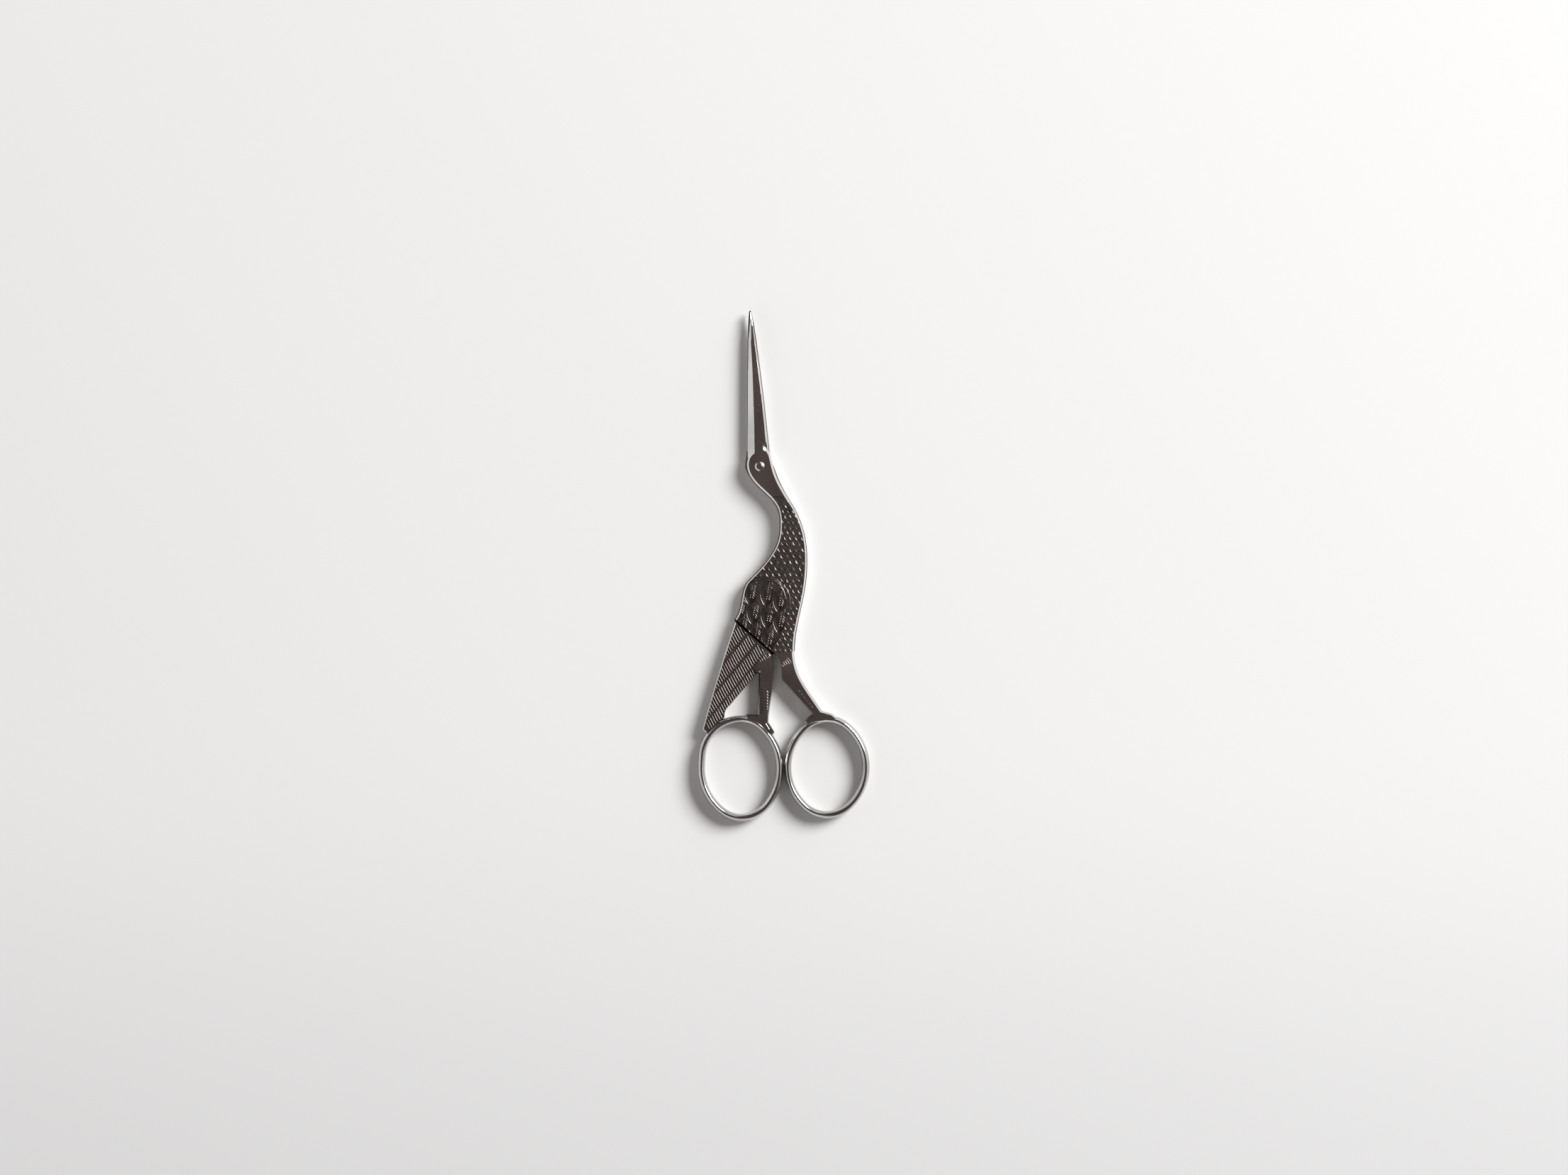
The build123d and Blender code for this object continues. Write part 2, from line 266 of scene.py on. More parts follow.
def shadeSlit(tree, place, colour, roughness):  # painted shade where the slit crosses the lower half, whose deep narrow bottom is made dark and rough
    (x1, y1), (x2, y2) = [fromPhoto(*end) for end in layout["slit"]]
    across = Vector((y1 - y2, x2 - x1, 0)).normalized()
    drop = pixels(layout["slitDrop"]) * across.y
    offset = (across.x * x1 + across.y * y1 - drop / 2) * mm
    reach = dotWith(tree, place.outputs["Object"], across)
    away = addMath(tree, "ABSOLUTE", addMath(tree, "SUBTRACT", reach, offset))
    clean = mapped(tree, away, *[widths * drop * mm for widths in steel["slitReach"]])
    colour = blendColours(tree, clean, steel["slitPaintedShade"], colour)
    dulled = addNode(tree, "ShaderNodeMapRange", **{"To Min": steel["slitRough"]})
    tree.links.new(clean, dulled.inputs["Value"])
    tree.links.new(roughness, dulled.inputs["To Max"])
    return colour, dulled.outputs["Result"]


def scratches(tree, place):
    turn = (0, 0, math.radians(steel["scratchTurn"]))
    stretch = addNode(tree, "ShaderNodeMapping", Scale=steel["scratchStretch"], Rotation=turn)
    tree.links.new(place.outputs["Object"], stretch.inputs["Vector"])
    scratch = addNode(tree, "ShaderNodeTexNoise", Scale=steel["scratchSize"], Detail=3.0)
    tree.links.new(stretch.outputs["Vector"], scratch.inputs["Vector"])
    bump = addNode(tree, "ShaderNodeBump", Strength=steel["scratchDepth"], Distance=steel["bumpHeight"])
    tree.links.new(scratch.outputs["Fac"], bump.inputs["Height"])
    return bump.outputs["Normal"]


def pits(tree, place, side, normal, grainDepth, merged):
    grain = addNoise(tree, place, steel["grainSize"], 2.0)
    bump = addNode(tree, "ShaderNodeBump", Distance=steel["bumpHeight"])
    if merged:
        tree.links.new(mapped(tree, side, carvingLow, carvingHigh, grainDepth, 0), bump.inputs["Strength"])
    else:
        bump.inputs["Strength"].default_value = grainDepth
    tree.links.new(grain, bump.inputs["Height"])
    tree.links.new(normal, bump.inputs["Normal"])
    return bump.outputs["Normal"]


def steelMaterial(name, soiledAndShaded=False, merged=False, slitShaded=False, edgeShaded=False, specked=False, shade=1.0,
                  roughShift=0.0, grainDepth=0.0):
    material, tree, shader = startMaterial(name)
    shader.inputs["Metallic"].default_value = 1.0
    place = tree.nodes.new("ShaderNodeTexCoord")
    cloud = addNoise(tree, place, steel["cloudSize"], 4.0)
    colour = blendColours(tree, mapped(tree, cloud, *steel["cloudRange"]), steel["dull"], steel["bright"])
    if not soiledAndShaded:
        colour = darkenLower(tree, place, colour)
    roughness = mapped(tree, cloud, 0, 1, *[c + roughShift for c in steel["roughness"]])
    side = heightFromMiddle(tree, place) if soiledAndShaded or edgeShaded else None
    if soiledAndShaded:
        colour, roughness = soilAndShade(tree, place, side, cloud, colour, roughness, merged)
    if edgeShaded:
        # painted shade along the cutting edge, fading away from the parting plane
        dark = mapped(tree, side, *[c * mm for c in steel["edgeReach"]])
        colour = blendColours(tree, dark, steel["edgePaintedShade"], colour)
    if specked:
        speck = addNoise(tree, place, steel["speckSize"], 1.0)
        metal = mapped(tree, speck, *steel["speckRange"], 1.0, steel["speckMetal"])
        tree.links.new(metal, shader.inputs["Metallic"])
    if slitShaded:
        colour, roughness = shadeSlit(tree, place, colour, roughness)
    # painted shade: a darker copy of the steel, so that narrow ridges glint less
    if shade < 1.0:
        colour = scaleColour(tree, colour, shade)
    tree.links.new(colour, shader.inputs["Base Color"])
    tree.links.new(roughness, shader.inputs["Roughness"])
    normal = scratches(tree, place)
    if soiledAndShaded:
        normal = pits(tree, place, side, normal, grainDepth, merged)
    tree.links.new(normal, shader.inputs["Normal"])
    return material


polishedSteel = steelMaterial("polishedSteel")
# The relief, the tail barbs and the leg lines get darker copies of the steel: painted shade.
carvedSteel = steelMaterial("carvedSteel", soiledAndShaded=True, shade=steel["reliefShade"],
                            roughShift=steel["carvedRough"], grainDepth=steel["reliefGrain"])
tailSteel = steelMaterial("tailSteel", soiledAndShaded=True, shade=steel["tailShade"],
                          roughShift=steel["carvedRough"], grainDepth=steel["reliefGrain"])
lineSteel = steelMaterial("lineSteel", shade=steel["lineShade"])
fieldSteel = steelMaterial("fieldSteel", soiledAndShaded=True, merged=True,
                           roughShift=steel["carvedRough"], grainDepth=steel["grainDepth"])
partingSteel = steelMaterial("partingSteel", slitShaded=True, roughShift=steel["partingRough"])
bladeSteel = steelMaterial("bladeSteel", specked=True)
edgeSteel = steelMaterial("edgeSteel", edgeShaded=True)
print("materials ready")


# The three solid pieces, from merged copies of the CAD meshes: node, body, slot, sharpest angle kept smooth.

solidPieces = {
    "frontHalf": ("front_half", "front", "front_steel", 24),
    "backHalf": ("back_half", "back", "back_steel", 24),
    "domedRivet": ("pivot_rivet", "back", "rivet_steel", 40),
}

blades = {
    "shoulder": 25.9,  # y where the blades start
    "round": 0.50,  # mm, where a blade's broad facet turns into its edge bevel
    "roundSteps": 6,
    "longEdge": 1.0,  # mm, the least that an edge has to run along the blade to be rounded
    "bevelSlope": (0.1, 0.75),  # a slope is the upward share of a face's normal
    "facetSlope": 0.97,
    "edgeSlope": (0.1, 0.8),  # of the faces in edge steel
    "partingSlope": 0.9,
    "partingReach": 0.16,  # mm from the parting plane
}


def inField(polygon, side):  # a face of the sunk field on the upper side (1) or the lower side (-1)
    place = polygon.center / mm
    depth = side * (place.z - middle)
    toeX, toeY = layout["toe"]
    if place.y > layout["ramp"][0] + layout["fieldSlack"] or (place.x > toeX and place.y < toeY):
        return False
    deepest = floorHeight - middle - layout["fieldSlack"]
    highest = faceHeight - middle - layout["faceSlack"]
    return deepest < depth < highest and side * polygon.normal.z > layout["flatSlope"]


def roundBladeEdges(piece):  # a soft round between the broad facet and the edge bevel of a blade
    clearSelection()
    piece.select_set(True)
    bpy.context.view_layer.objects.active = piece
    faces = {}
    for polygon in piece.data.polygons:
        polygon.select = False
        for key in polygon.edge_keys:
            faces.setdefault(key, []).append(abs(polygon.normal.z))
    for vertex in piece.data.vertices:
        vertex.select = False
    least, most = blades["bevelSlope"]
    for edge in piece.data.edges:
        first, second = [piece.data.vertices[i].co / mm for i in edge.vertices]
        slopes = sorted(faces.get(edge.key, []))
        onBlade = min(first.y, second.y) > blades["shoulder"]
        along = onBlade and abs(first.y - second.y) > blades["longEdge"]
        meets = len(slopes) == 2 and least < slopes[0] < most and slopes[1] > blades["facetSlope"]
        edge.select = along and meets
    print(piece.name, "edges rounded along the blade:", sum(edge.select for edge in piece.data.edges))
    bpy.ops.object.mode_set(mode="EDIT")
    bpy.ops.mesh.select_mode(type="EDGE")
    bpy.ops.mesh.bevel(offset=blades["round"] * mm, segments=blades["roundSteps"], affect="EDGES",
                       clamp_overlap=True)
    bpy.ops.object.mode_set(mode="OBJECT")


def steelOf(name, polygon):  # 0 polished, 1 field, 2 parting, 3 blade, 4 edge
    slope = abs(polygon.normal.z)
    if name != "domedRivet" and (inField(polygon, 1) or inField(polygon, -1)):
        return 1
    if slope > blades["partingSlope"] and abs(polygon.center.z / mm - middle) < blades["partingReach"]:
        return 2
    if polygon.center.y / mm > blades["shoulder"]:
        least, most = blades["edgeSlope"]
        return 4 if least < slope < most else 3
    return 0


def dressSolid(name, node, body, slotName, smoothAngle):
    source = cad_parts[node]
    piece = bpy.data.objects.new(name, source.data.copy())
    bpy.context.collection.objects.link(piece)
    piece.data.name = name
    piece.data.materials.clear()
    for material in (polishedSteel, fieldSteel, partingSteel, bladeSteel, edgeSteel):
        piece.data.materials.append(material)
    clearSelection()
    piece.select_set(True)
    bpy.context.view_layer.objects.active = piece
    bpy.ops.object.mode_set(mode="EDIT")
    bpy.ops.mesh.select_all(action="SELECT")
    bpy.ops.mesh.remove_doubles(threshold=0.000001)
    bpy.ops.object.mode_set(mode="OBJECT")
    if piece.data.has_custom_normals:
        bpy.ops.mesh.customdata_custom_splitnormals_clear()
    if name != "domedRivet":
        roundBladeEdges(piece)
    bpy.ops.object.shade_smooth_by_angle(angle=math.radians(smoothAngle))
    bpy.ops.object.modifier_add(type="WEIGHTED_NORMAL")
    piece.modifiers[-1].keep_sharp = True
    bpy.ops.object.modifier_apply(modifier=piece.modifiers[-1].name)
    for polygon in piece.data.polygons:
        polygon.material_index = steelOf(name, polygon)
    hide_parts(node)
    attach(piece, body)
    return piece


solids = {name: dressSolid(name, *row) for name, row in solidPieces.items()}
print("solid pieces dressed")


# Finger rings: a smooth round bar over the narrow flats of the CAD bar.

rings = {
    "halfWidth": 8.82,  # mm, to the middle of the bar
    "barWidth": 1.70,
    "barHeight": 3.30,
    "steps": 128,
    "sides": 32,
    "proud": 1.003,  # how much larger than the CAD bar
    "wheel": 10,  # radius of the plain ring that is bent into shape
    "leftRing": {"centre": (-9.72, -45.577), "halfHeight": 11.1, "ends": (0.80, 0.985, 0.74, 0.87),
                 "body": "back", "slot": "back_steel"},
    "rightRing": {"centre": (9.72, -45.2773), "halfHeight": 10.789, "ends": (0.80, 0.80, 0.82, 0.82),
                  "body": "front", "slot": "front_steel"},
}


def ringPoint(ring, angle):  # where the bar's middle line faces this way
    quarter = int(angle // (math.pi / 2)) % 4
    width, height = rings["halfWidth"], ring["halfHeight"]
    small = ring["ends"][quarter] * width
    large = (width**2 + (height - small)**2 - small**2) / (2 * (width - small))
    meet = math.atan2(height - small, large - width)
    across, along = (1, -1, -1, 1)[quarter], (1, 1, -1, -1)[quarter]
    x, y = ring["centre"]
    if math.asin(min(1, abs(math.sin(angle)))) < meet:
        return x - across * (large - width) + large * math.cos(angle), y + large * math.sin(angle)
    return x + small * math.cos(angle), y + along * (height - small) + small * math.sin(angle)


def modelRing(name):
    ring = rings[name]
    clearSelection()
    bpy.ops.mesh.primitive_torus_add(major_segments=rings["steps"], minor_segments=rings["sides"],
                                     major_radius=rings["wheel"], minor_radius=1, location=(0, 0, 0))
    piece = bpy.context.object
    piece.name = piece.data.name = name
    for vertex in piece.data.vertices:
        co = vertex.co
        angle = math.atan2(co.y, co.x) % (2 * math.pi)
        out = math.hypot(co.x, co.y) - rings["wheel"]
        x, y = ringPoint(ring, angle)
        reach = out * rings["proud"] * rings["barWidth"] / 2
        vertex.co = (x + reach * math.cos(angle), y + reach * math.sin(angle),
                     middle + co.z * rings["proud"] * rings["barHeight"] / 2)
    piece.data.transform(Matrix.Diagonal((mm, mm, mm, 1)))
    piece.data.materials.append(polishedSteel)
    bpy.ops.object.shade_smooth()
    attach(piece, ring["body"])


for name in ("leftRing", "rightRing"):
    modelRing(name)
print("rings made")


# Outlines of the sunk fields, read from the pieces that carry them.

def fieldLoops(piece, side):  # closed outlines, in mm
    edgeUse = {}
    for polygon in piece.data.polygons:
        if inField(polygon, side):
            for key in polygon.edge_keys:
                edgeUse[key] = edgeUse.get(key, 0) + 1
    return chainLoops(piece, edgeUse)


def chainLoops(piece, edgeUse):  # edges with a face on one side only, put in order
    after = {}
    for (a, b), count in edgeUse.items():
        if count == 1:
            after.setdefault(a, []).append(b)
            after.setdefault(b, []).append(a)
    loops = []
    while after:
        start = min(after)
        loop, here, last = [start], start, None
        while True:
            choices = [n for n in after[here] if n != last]
            last, here = here, choices[0] if choices else after[here][0]
            if here == start:
                break
            loop.append(here)
        for index in loop:
            after.pop(index, None)
        points = [piece.data.vertices[i].co / mm for i in loop]
        loops.append([(p.x, p.y) for p in points])
    return sorted(loops, key=len, reverse=True)


def isInside(loop, x, y):
    inside = False
    for (x1, y1), (x2, y2) in zip(loop, loop[1:] + loop[:1]):
        if (y1 > y) != (y2 > y) and x < x1 + (y - y1) * (x2 - x1) / (y2 - y1):
            inside = not inside
    return inside


def nearestOn(loop, x, y):
    best = None
    for (x1, y1), (x2, y2) in zip(loop, loop[1:] + loop[:1]):
        dx, dy = x2 - x1, y2 - y1
        share = max(0, min(1, ((x - x1) * dx + (y - y1) * dy) / (dx * dx + dy * dy or 1)))
        px, py = x1 + share * dx, y1 + share * dy
        far = (px - x)**2 + (py - y)**2
        if best is None or far < best[0]:
            best = (far, px, py)
    return best[1], best[2], math.sqrt(best[0])


def wellInside(loop, x, y, margin):
    return isInside(loop, x, y) and nearestOn(loop, x, y)[2] > margin


def trimTo(piece, loop):  # what reaches past the outline is squeezed back onto it
    for vertex in piece.data.vertices:
        if not isInside(loop, vertex.co.x, vertex.co.y):
            vertex.co.x, vertex.co.y = nearestOn(loop, vertex.co.x, vertex.co.y)[:2]


def sawOff(piece, drop, keepAbove):  # cut straight through along one edge of the slit
    (x1, y1), (x2, y2) = [fromPhoto(u, v + drop) for u, v in layout["slit"]]
    clearSelection()
    piece.select_set(True)
    bpy.context.view_layer.objects.active = piece
    bpy.ops.object.mode_set(mode="EDIT")
    bpy.ops.mesh.select_all(action="SELECT")
    bpy.ops.mesh.bisect(plane_co=(x1, y1, 0), plane_no=(y1 - y2, x2 - x1, 0), use_fill=True,
                        clear_inner=keepAbove, clear_outer=not keepAbove)
    bpy.ops.object.mode_set(mode="OBJECT")


def floorAt(y):  # the sunk field's height, and the share of its full depth that it has there
    start, end = layout["ramp"]
    share = max(0, min(1, (start - y) / (start - end)))
    return faceHeight - share * (faceHeight - floorHeight), share


def seat(piece):  # stand the relief on the field, lower where the field is shallow
    for vertex in piece.data.vertices:
        floor, share = floorAt(vertex.co.y)
        least = layout["fadeLeast"]
        vertex.co.z = floor + vertex.co.z * (least + (1 - least) * share)


frontLoops = fieldLoops(solids["frontHalf"], 1)
tailLoops = fieldLoops(solids["backHalf"], 1)
underLoops = fieldLoops(solids["backHalf"], -1)
for title, loops in (("front", frontLoops), ("tail", tailLoops), ("under", underLoops)):
    print(title, "field outlines:", [(len(loop), [round(c, 1) for c in loop[0]]) for loop in loops])


relief = {
    "base": 0.08,  # mm of every dish that lies under the field's floor
    "slack": 0.001,
    "fewestCuts": 7,  # across a raised line
    "cutEvery": 0.45,
    "endReach": 2.2,  # heights from a line's end within which its top is pulled out to the end
    "smoothAngle": 20,  # degrees
}


def leanRim(piece, level, facing, least, fall):  # the rim stands highest round the side that it faces
    for vertex in piece.data.vertices:
        if vertex.co.z > level:
            turn = math.atan2(vertex.co.y, vertex.co.x) - math.radians(facing)
            stand = max(least, 1 - fall * (1 - math.cos(turn)))
            vertex.co.z = level + (vertex.co.z - level) * stand


def tilt(piece, width, length, sideDown, tipDown):  # the right side and the upper end dip under the next ones
    for vertex in piece.data.vertices:
        vertex.co.z -= sideDown * (vertex.co.x / width + 0.5) + tipDown * (vertex.co.y / length + 0.5)


def modelDish(values):  # an oval dish, as its own dictionary says
    clearSelection()
    base = relief["base"]
    bpy.ops.mesh.primitive_cylinder_add(vertices=values["sides"], radius=0.5, depth=base,
                                        location=(0, 0, -base / 2))
    piece = bpy.context.object
    piece.scale = (pixels(values["width"]), pixels(values["length"]), 1)
    applyPlace(piece)
    bpy.ops.object.mode_set(mode="EDIT")
    bpy.ops.mesh.select_mode(type="VERT")
    pick(piece, lambda co: co.z > -base / 8)
    bpy.ops.mesh.inset(thickness=values["outerWall"])
    bpy.ops.transform.translate(value=(0, 0, values["level"] + values["rimHeight"]))
    bpy.ops.mesh.inset(thickness=values["innerWall"])
    bpy.ops.transform.translate(value=(0, 0, -values["rimHeight"]))
    bpy.ops.object.mode_set(mode="OBJECT")
    level = values["level"] + relief["slack"]
    leanRim(piece, level, values["rimFacing"], values["rimLeast"], values["rimFall"])
    return piece


# Neck scales, each a shallow dish with a rim round its lower left.

scales = {
    "width": 9.9,  # pixels of the photograph, where they are largest
    "length": 11.6,
    "columnPitch": 9.0,
    "rowPitch": 8.9,
    "sizes": [(700, 0.78), (735, 0.84), (785, 1.0), (830, 0.86), (935, 0.80)],  # down the page
    "middleColumn": 1118.0,
    "top": 699.0,
    "bottom": 931.0,
    "past": 3.6,  # how far outside the outline a scale may have its middle, in pixels
    "sides": 16,
    "outerWall": 0.09,  # mm
    "innerWall": 0.19,
    "level": 0.035,  # of the dish, above the field
    "rimHeight": 0.098,  # of the rim, above the dish
    "rimFacing": 232,  # degrees
    "rimLeast": 0.0,
    "rimFall": 0.95,
    "sideDown": 0.035,
    "tipDown": 0.06,
    "wander": 0.8,  # pixels
    "turnRange": 12,  # degrees
    "columns": (-14, 8),  # from the middle column
    "heightRange": (0.55, 1.08),
}

wing = {
    "outline": [(1053, 822), (1059.4, 818.5), (1065.7, 816.2), (1073, 815.2), (1080, 814.6), (1088, 815.8),
                (1094.7, 817.5), (1101, 821), (1106, 825.5), (1112, 832), (1115.4, 841), (1116.4, 851),
                (1115.4, 858), (1113.2, 865), (1110.8, 872), (1109.6, 878.6), (1107.5, 884.4), (1104.2, 890),
                (1101.2, 897), (1098.2, 903), (1091, 918), (1060, 905), (1030, 880), (1045, 840)],
}


def modelScale():
    piece = modelDish(scales)
    tilt(piece, pixels(scales["width"]), pixels(scales["length"]), scales["sideDown"], scales["tipDown"])
    return piece


def sizeAt(v):  # share of the full size, between the rows of the table
    table = scales["sizes"]
    for (v1, s1), (v2, s2) in zip(table, table[1:]):
        if v <= v2:
            return s1 + (s2 - s1) * max(0, v - v1) / (v2 - v1)
    return table[-1][1]


def layScales(loop, name):
    model = modelScale()
    covered = [fromPhoto(*p) for p in wing["outline"]]
    wander = random.Random(5)
    made, row, v = [], 0, scales["top"]
    while v < scales["bottom"]:
        size = sizeAt(v)
        for column in range(*scales["columns"]):
            u = scales["middleColumn"] + (column + (row % 2) / 2) * scales["columnPitch"] * size
            du, dv = [wander.uniform(-scales["wander"], scales["wander"]) for _ in range(2)]
            turn = math.radians(wander.uniform(-scales["turnRange"], scales["turnRange"]))
            rise = wander.uniform(*scales["heightRange"])
            x, y = fromPhoto(u + du, v + dv)
            reached = isInside(loop, x, y) or nearestOn(loop, x, y)[2] < pixels(scales["past"])
            if reached and not isInside(covered, x, y):
                made.append(copyAt(model, x, y, turn, (size, size, rise)))
        v += scales["rowPitch"] * size
        row += 1
    discard(model)
    piece = joinAll(made, name)
    trimTo(piece, loop)
    seat(piece)
    print(name, len(made), "scales,", len(piece.data.polygons), "faces")
    return piece


# Wing feathers: a plate with a rim round its lower left, a fine line inside it, a dotted quill and barbs.

feathers = {
    "width": 22.5,  # pixels
    "length": 38.0,
    "lean": -11.0,  # degrees, lower end to the left
    "shift": (-1.5, -3.0),  # from the middle of the barbs to the middle of the plate, right and up
    "sides": 28,
    "outerWall": 0.09,  # mm
    "innerWall": 0.17,
    "level": 0.05,
    "rimHeight": 0.085,
    "rimFacing": 229,
    "rimLeast": 0.30,
    "rimFall": 2.0,
    "groove": 0.24,
    "lineWall": 0.06,
    "lineHeight": 0.055,
    "lineSlope": 0.30,
    "sideDown": 0.04,
    "tipDown": 0.06,
    "point": 0.42,  # how much the lower end narrows
    "dotPitch": 3.2,  # pixels
    "dotCount": 8,
    "dotRight": -0.22,  # mm from the feather's middle
    "dotShare": 0.30,  # length of a dot, as a share of a barb
    "barbPitch": 3.3,
    "barbCount": 8,
    "barbLength": 0.78,
    "barbWidth": 0.25,
    "barbHeight": 0.046,
    "barbSlope": 0.72,
    "barbTurn": 44,  # degrees, down to the right and down to the left
    "swell": (0.48, 0.15),  # share of the length where the barbs are shortest, and how short
    "rightBarb": (0.24, 0.22, 0.05),  # mm to the right, as much more where the feather is wide, and up
    "rightSize": (0.35, 0.65),  # share of the length, and as much more where it is wide
    "leftBarb": (-0.60, -0.1),  # to the right and up
    "leftSize": (0.3, 0.4),
    "leftWidth": 0.8,
    "leftHeight": 0.75,
    "margin": 0.15,  # mm that a barb keeps from the field's outline
    "heightRange": (0.6, 1.1),
    "centres": [(1047, 853), (1050, 879), (1062, 832), (1066, 860), (1069, 889), (1085, 834), (1086, 865),
                (1103, 843), (1103, 872), (1087, 896), (1083, 916)],
}


def modelBarb(length, width, height, cuts=0, slope=0.6):
    # A bar along x whose wall on the +y side slopes and whose other wall is steep.
    clearSelection()
    bpy.ops.mesh.primitive_cube_add(size=1, location=(0, 0, 0))
    piece = bpy.context.object
    piece.scale = (length, width, height)
    applyPlace(piece)
    bpy.ops.object.mode_set(mode="EDIT")
    bpy.ops.mesh.select_mode(type="VERT")
    pick(piece, lambda co: co.z > 0 and co.y > 0)
    bpy.ops.transform.translate(value=(0, -width * slope, 0))
    pick(piece, lambda co: co.z > 0 and co.x > 0)
    bpy.ops.transform.translate(value=(-height, 0, 0))
    pick(piece, lambda co: co.z > 0 and co.x < 0)
    bpy.ops.transform.translate(value=(height, 0, 0))
    for cut in range(cuts):
        bpy.ops.mesh.select_all(action="SELECT")
        place = (cut + 1) / (cuts + 1) - 0.5
        bpy.ops.mesh.bisect(plane_co=(place * length, 0, 0), plane_no=(1, 0, 0))
    bpy.ops.object.mode_set(mode="OBJECT")
    return piece


def modelFeather():
    piece = modelDish(feathers)
    width, length = pixels(feathers["width"]), pixels(feathers["length"])
    bpy.ops.object.mode_set(mode="EDIT")  # the dish's floor is still selected
    bpy.ops.mesh.inset(thickness=feathers["groove"])
    bpy.ops.mesh.inset(thickness=feathers["lineWall"])
    bpy.ops.transform.translate(value=(0, 0, feathers["lineHeight"]))
    bpy.ops.mesh.inset(thickness=feathers["lineSlope"])
    bpy.ops.transform.translate(value=(0, 0, -feathers["lineHeight"]))
    bpy.ops.object.mode_set(mode="OBJECT")
    for vertex in piece.data.vertices:
        if vertex.co.y < 0:
            vertex.co.x *= 1 - feathers["point"] * (2 * vertex.co.y / length)**2
    tilt(piece, width, length, feathers["sideDown"], feathers["tipDown"])
    return piece


def layFeathers(loop, name):
    plate = modelFeather()
    barb = modelBarb(feathers["barbLength"], feathers["barbWidth"], 2 * feathers["barbHeight"],
                     slope=feathers["barbSlope"])
    lean, barbTurn = math.radians(feathers["lean"]), math.radians(feathers["barbTurn"])
    made, wander = [], random.Random(8)
    width, length = pixels(feathers["width"]), pixels(feathers["length"])
    shiftX, shiftY = [pixels(c) for c in feathers["shift"]]
    longest, least = feathers["swell"]
    rightStart, rightMore, rightUp = feathers["rightBarb"]
    rightSize, rightGrowth = feathers["rightSize"]
    leftStart, leftUp = feathers["leftBarb"]
    leftSize, leftGrowth = feathers["leftSize"]
    for u, v in feathers["centres"]:
        x0, y0 = fromPhoto(u, v)

        def put(model, x, y, turn, stretch):
            ax = x0 + x * math.cos(lean) - y * math.sin(lean)
            ay = y0 + x * math.sin(lean) + y * math.cos(lean)
            dip = feathers["sideDown"] * (x / width + 0.5) + feathers["tipDown"] * (y / length + 0.5)
            if model is plate or wellInside(loop, ax, ay, feathers["margin"]):
                height = 0 if model is plate else feathers["level"] - dip
                made.append(copyAt(model, ax, ay, lean + turn, stretch, height))

        put(plate, shiftX, shiftY, 0, (1, 1, 1))
        for i in range(feathers["dotCount"]):
            y = pixels(feathers["dotPitch"]) * (i - feathers["dotCount"] / 2 + 0.5)
            rise = wander.uniform(*feathers["heightRange"])
            put(barb, feathers["dotRight"], y, -barbTurn, (feathers["dotShare"], 1, rise))
        for i in range(feathers["barbCount"]):
            y = pixels(feathers["barbPitch"]) * (i - feathers["barbCount"] / 2 + 0.5)
            reach = math.sqrt(max(least, 1 - (y / (longest * length))**2))
            rise = wander.uniform(*feathers["heightRange"])
            stretch = (rightSize + rightGrowth * reach, 1, rise)
            put(barb, rightStart + rightMore * reach, y + rightUp, -barbTurn, stretch)
            stretch = (leftSize + leftGrowth * reach, feathers["leftWidth"], feathers["leftHeight"] * rise)
            put(barb, leftStart, y + leftUp, barbTurn, stretch)
    for model in (plate, barb):
        discard(model)
    piece = joinAll(made, name)
    trimTo(piece, loop)
    seat(piece)
    print(name, len(feathers["centres"]), "feathers,", len(piece.data.polygons), "faces")
    return piece


# Raised lines that follow points of the photograph, bent from one straight bar.

def smoothPath(points, steps=6):  # a smooth curve through the points
    padded = [points[0], *points, points[-1]]
    path = []
    for a, b, c, d in zip(padded, padded[1:], padded[2:], padded[3:]):
        for step in range(steps):
            t = step / steps
            path.append(tuple(0.5 * (2 * q + (r - p) * t + (2 * p - 5 * q + 4 * r - s) * t**2
                                     + (3 * q - p - 3 * r + s) * t**3) for p, q, r, s in zip(a, b, c, d)))
    return path + [points[-1]]


def raiseLine(points, width, height, slope, taper=0.0):  # its sloping wall is on the left of the way it runs
    path = smoothPath([fromPhoto(*p) for p in points])
    marks = [0.0]
    for a, b in zip(path, path[1:]):
        marks.append(marks[-1] + math.dist(a, b))
    total = marks[-1]
    cuts = max(relief["fewestCuts"], round(total / relief["cutEvery"]))
    piece = modelBarb(total, width, 2 * height, cuts=cuts, slope=slope)
    for vertex in piece.data.vertices:
        co = vertex.co
        away = abs(2 * co.x / total)
        if co.z > 0:
            co.z *= 1 - taper * min(1, away)**4
            if away > 1 - relief["endReach"] * height / total:
                co.x = math.copysign(total / 2, co.x)
        along = min(max(co.x + total / 2, 0), total)
        step = 0
        while step < len(path) - 2 and along > marks[step + 1]:
            step += 1
        share = (along - marks[step]) / (marks[step + 1] - marks[step])
        around = [max(0, min(len(path) - 1, step + k)) for k in (-1, 0, 1, 2)]
        before, here, after, last = [path[k] for k in around]
        dx = (1 - share) * (after[0] - before[0]) + share * (last[0] - here[0])
        dy = (1 - share) * (after[1] - before[1]) + share * (last[1] - here[1])
        size = math.hypot(dx, dy)
        out = co.y
        co.x = here[0] + share * (after[0] - here[0]) - out * dy / size
        co.y = here[1] + share * (after[1] - here[1]) + out * dx / size
    return piece


# Border of the wing: a groove between two fine lines above it, and one line down its right side.

